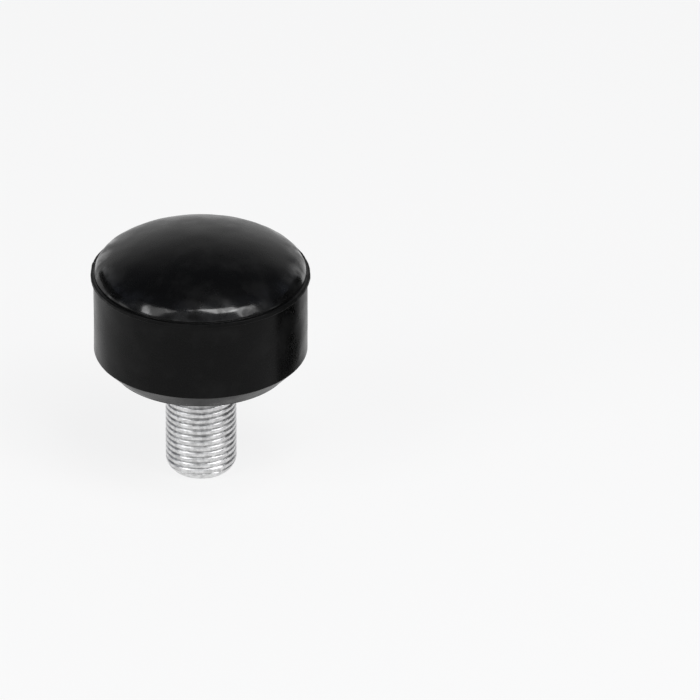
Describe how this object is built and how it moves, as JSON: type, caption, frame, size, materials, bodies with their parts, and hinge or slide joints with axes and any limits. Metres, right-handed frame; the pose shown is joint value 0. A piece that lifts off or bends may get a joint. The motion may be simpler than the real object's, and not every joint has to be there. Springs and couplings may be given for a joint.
{
  "type": "roller skate toe stop",
  "caption": "Round domed black rubber toe stop moulded onto a finely threaded steel stem.",
  "frame": {"origin": "on the stem's axis in the plane of the rubber cap's flat base", "axes": "+Z along the stem's axis towards the dome, so the threaded stem points along -Z; X and Y are any two directions across it"},
  "size_m": [0.0492, 0.0492, 0.0584],
  "materials": {
    "rubber": "moulded, half gloss",
    "zinc_steel": "bright zinc plating",
    "plate_steel": "plain stamped steel"
  },
  "bodies": {
    "root": {"rubber_cap": "rubber", "threaded_stem": "zinc_steel", "anchor_plate": "plate_steel"}
  },
  "joints": []
}
